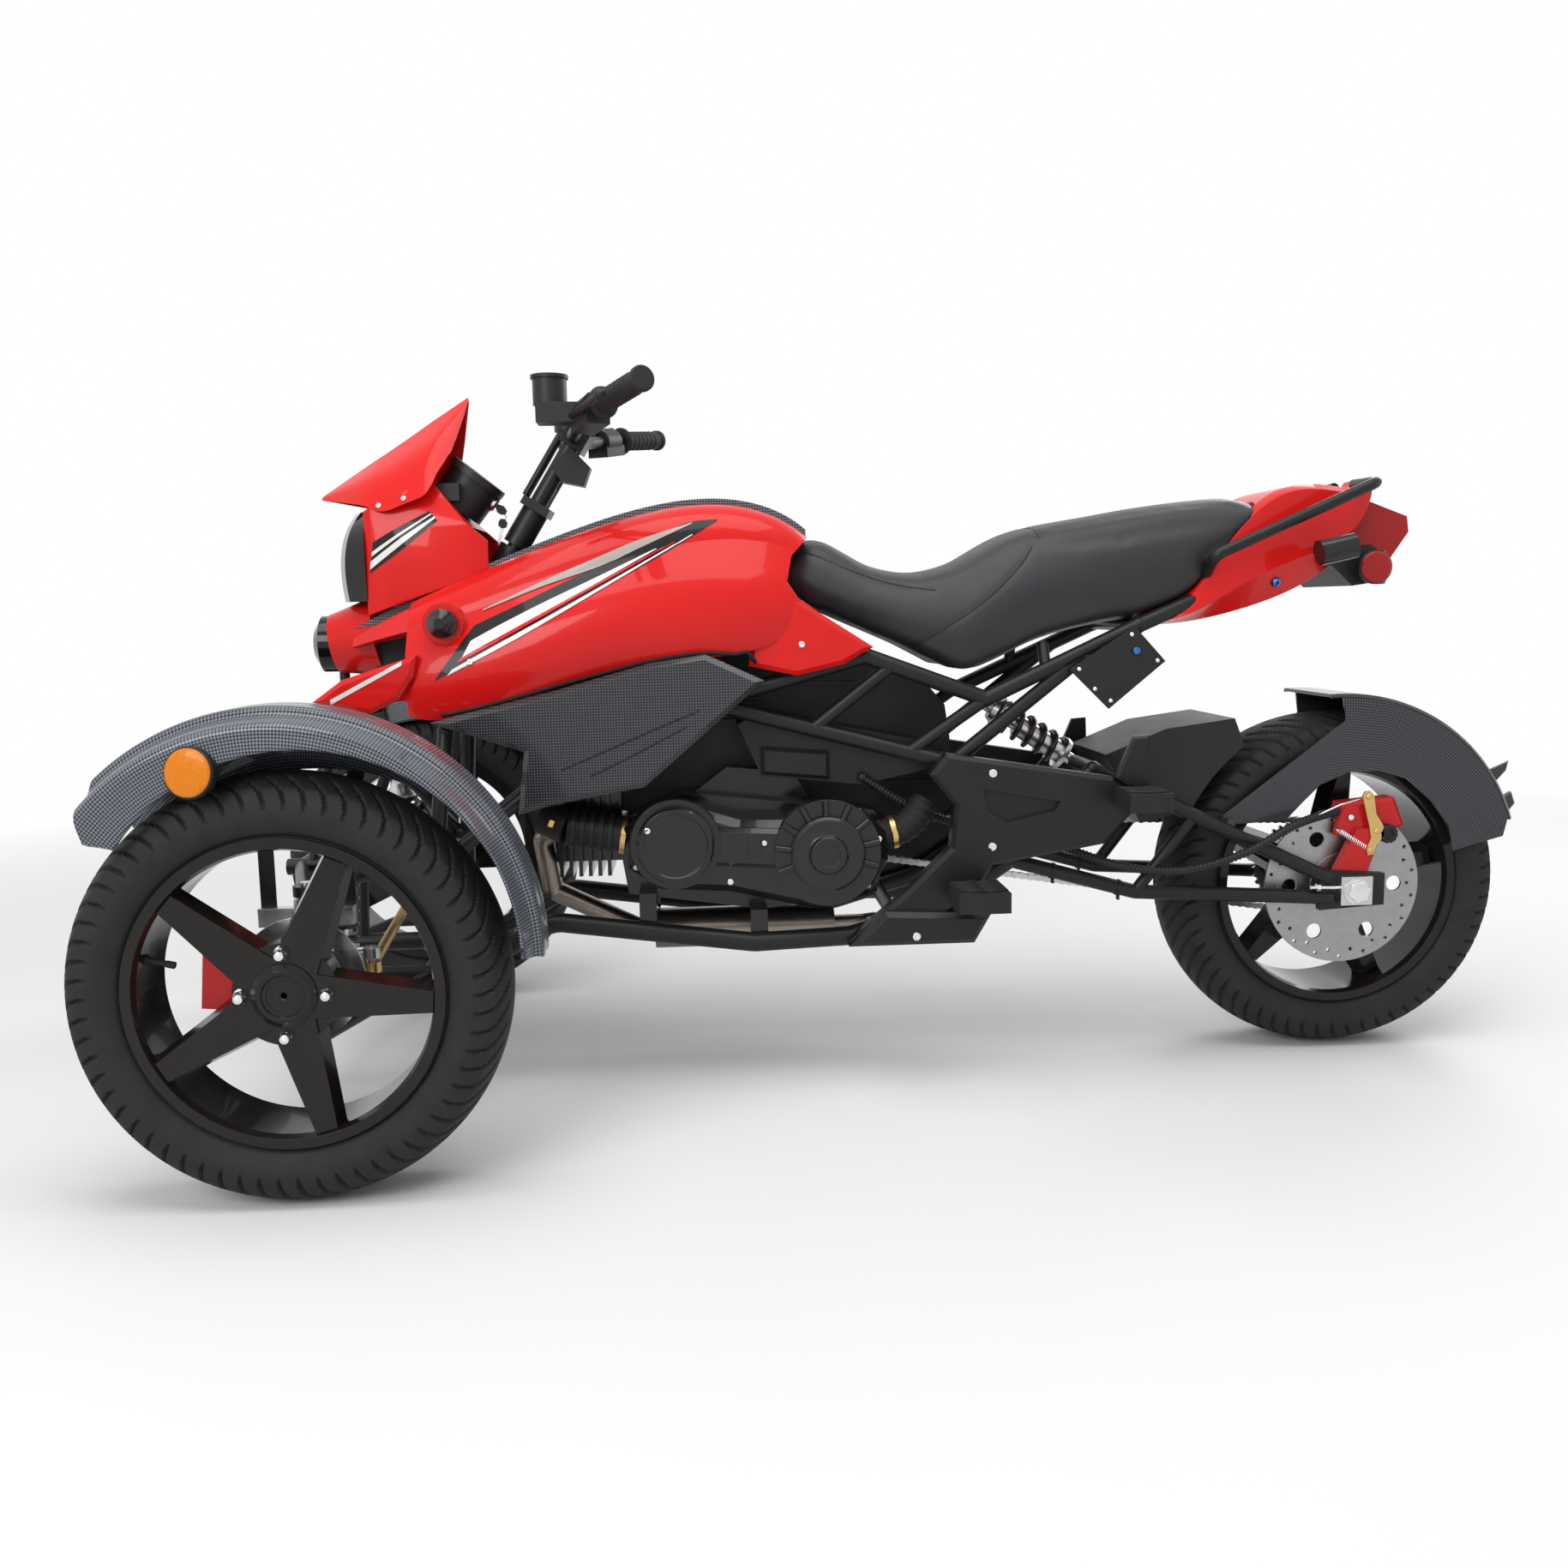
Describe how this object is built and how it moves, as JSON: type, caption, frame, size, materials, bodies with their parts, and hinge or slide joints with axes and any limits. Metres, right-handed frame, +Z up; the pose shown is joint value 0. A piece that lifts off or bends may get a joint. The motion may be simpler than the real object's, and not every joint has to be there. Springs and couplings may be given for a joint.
{
  "type": "motor trike",
  "caption": "Sporty reverse motor trike with twin steered front wheels, driven rear wheel, trellis frame, open engine, stepped saddle and straight handlebar.",
  "frame": {"origin": "on the ground under the middle of the length and width", "axes": "+X forward, +Y left, +Z up"},
  "size_m": [2.4219, 1.2478, 1.228],
  "materials": {
    "red_paint": "clear-coated gloss red",
    "carbon": "carbon-look woven gloss",
    "frame_black": "satin black",
    "engine_black": "gloss black",
    "black_plastic": "grained matt black",
    "steel": "bare steel",
    "gold": "gold anodised",
    "shock_black": "black",
    "caliper_red": "red",
    "rim_black": "gloss black",
    "tyre": "worn-in rubber",
    "grip_rubber": "matt rubber",
    "leather": "grained black",
    "dark_lens": "tinted gloss",
    "red_lens": "dark red gloss",
    "smoked_lens": "smoked gloss"
  },
  "bodies": {
    "chassis": {"body_sides": "red_paint", "nose_cowl": "red_paint", "visor": "red_paint", "tail_cowl": "red_paint", "tank_top": "carbon", "side_panels": "carbon", "rear_fender": "carbon", "frame_front": "frame_black", "frame_rails": "frame_black", "frame_spine": "frame_black", "frame_trellis": "frame_black", "suspension_arms": "frame_black", "swingarm": "frame_black", "foot_brackets": "frame_black", "grab_rails": "frame_black", "engine_case": "engine_black", "belt_cover": "engine_black", "air_box": "black_plastic", "dash": "black_plastic", "hugger": "black_plastic", "tail_bracket": "black_plastic", "intake_bellows": "black_plastic", "id_plate": "black_plastic", "brake_cable": "black_plastic", "exhaust": "steel", "rear_axle": "steel", "steering_rack": "steel", "chain": "steel", "front_shocks": "shock_black", "rear_shock": "shock_black", "rear_caliper": "caliper_red", "footpegs": "grip_rubber", "seat": "leather", "headlamps": "dark_lens", "tail_lamp": "red_lens", "signals": "smoked_lens"},
    "steering": {"handlebar": "frame_black", "grips": "grip_rubber", "controls": "black_plastic"},
    "knuckle_left": {"knuckle_left": "steel", "caliper_front_left": "caliper_red", "fender_front_left": "carbon"},
    "knuckle_right": {"knuckle_right": "steel", "caliper_front_right": "caliper_red", "fender_front_right": "carbon"},
    "wheel_front_left": {"tyre_front_left": "tyre", "rim_front_left": "rim_black", "hub_front_left": "steel"},
    "wheel_front_right": {"tyre_front_right": "tyre", "rim_front_right": "rim_black", "hub_front_right": "steel"},
    "tie_rod_left": {"tie_rod_left": "gold"},
    "tie_rod_right": {"tie_rod_right": "gold"},
    "wheel_rear": {"tyre_rear": "tyre", "rim_rear": "rim_black", "brake_disc_rear": "steel", "sprocket_rear": "steel"}
  },
  "joints": [
    {"name": "steer", "type": "hinge", "parent": "chassis", "child": "steering", "pos_m": [0.626, 0, 0.956], "axis": [-0.5299, 0, 0.848], "range_deg": [-28, 28]},
    {"name": "kingpin_left", "type": "hinge", "parent": "chassis", "child": "knuckle_left", "pos_m": [0.897, 0.455, 0.314], "axis": [0, 0, 1], "range_deg": [-28, 28]},
    {"name": "tie_rod_pivot_left", "type": "hinge", "parent": "knuckle_left", "child": "tie_rod_left", "pos_m": [0.812, 0.44, 0.314], "axis": [0, 0, 1], "range_deg": [-28, 28]},
    {"name": "front_wheel_spin_left", "type": "hinge", "parent": "knuckle_left", "child": "wheel_front_left", "pos_m": [0.897, 0.54, 0.314], "axis": [0, 1, 0], "continuous": true},
    {"name": "kingpin_right", "type": "hinge", "parent": "chassis", "child": "knuckle_right", "pos_m": [0.897, -0.455, 0.314], "axis": [0, 0, 1], "range_deg": [-28, 28]},
    {"name": "tie_rod_pivot_right", "type": "hinge", "parent": "knuckle_right", "child": "tie_rod_right", "pos_m": [0.812, -0.44, 0.314], "axis": [0, 0, 1], "range_deg": [-28, 28]},
    {"name": "front_wheel_spin_right", "type": "hinge", "parent": "knuckle_right", "child": "wheel_front_right", "pos_m": [0.897, -0.54, 0.314], "axis": [0, 1, 0], "continuous": true},
    {"name": "rear_wheel_spin", "type": "hinge", "parent": "chassis", "child": "wheel_rear", "pos_m": [-0.873, 0, 0.315], "axis": [0, 1, 0], "continuous": true}
  ],
  "couplings": [
    {"joint": "kingpin_left", "follows": "steer", "ratio": 1},
    {"joint": "tie_rod_pivot_left", "follows": "steer", "ratio": -1},
    {"joint": "kingpin_right", "follows": "steer", "ratio": 1},
    {"joint": "tie_rod_pivot_right", "follows": "steer", "ratio": -1}
  ]
}
